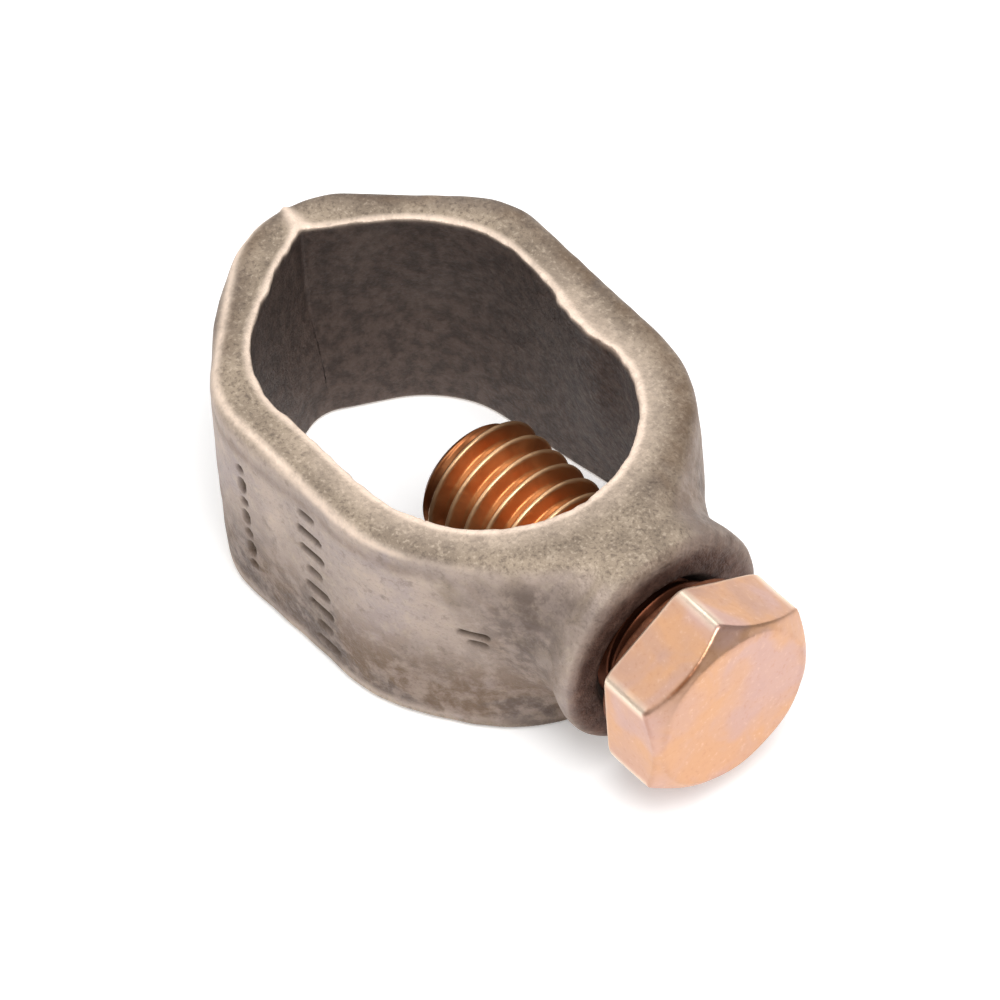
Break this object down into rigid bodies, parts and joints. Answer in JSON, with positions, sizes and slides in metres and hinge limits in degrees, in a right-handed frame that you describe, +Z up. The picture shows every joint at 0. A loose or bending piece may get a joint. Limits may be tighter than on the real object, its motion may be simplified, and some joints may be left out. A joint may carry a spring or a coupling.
{
  "type": "ground clamp",
  "caption": "Cast bronze ground-rod clamp: a ring with a V seat and a flared threaded boss, closed by a hex-head bolt that screws in against the rod.",
  "frame": {"origin": "bottom centre of the bounding box, with the ring lying flat on its lower rim", "axes": "+X along the bolt towards its head, +Z up along the rod that the ring goes round"},
  "size_m": [0.0458, 0.026, 0.0166],
  "materials": {
    "cast_bronze": "sand cast, weathered",
    "bolt_bronze": "satin, copper coloured"
  },
  "bodies": {
    "clamp_body": {"clamp_body": "cast_bronze"},
    "bolt_carriage": {"bolt_washer_face": "bolt_bronze"},
    "bolt": {"hex_bolt": "bolt_bronze"}
  },
  "joints": [
    {"name": "bolt_travel", "type": "slide", "parent": "clamp_body", "child": "bolt_carriage", "axis": [-1, 0, 0], "range_m": [-0.0136, 0.001]},
    {"name": "bolt_turn", "type": "hinge", "parent": "bolt_carriage", "child": "bolt", "pos_m": [0.01995, 0, 0.0083], "axis": [-1, 0, 0], "range_deg": [-3060, 226]}
  ],
  "couplings": [
    {"joint": "bolt_travel", "follows": "bolt_turn", "m_per_rad": 0.00025266}
  ]
}
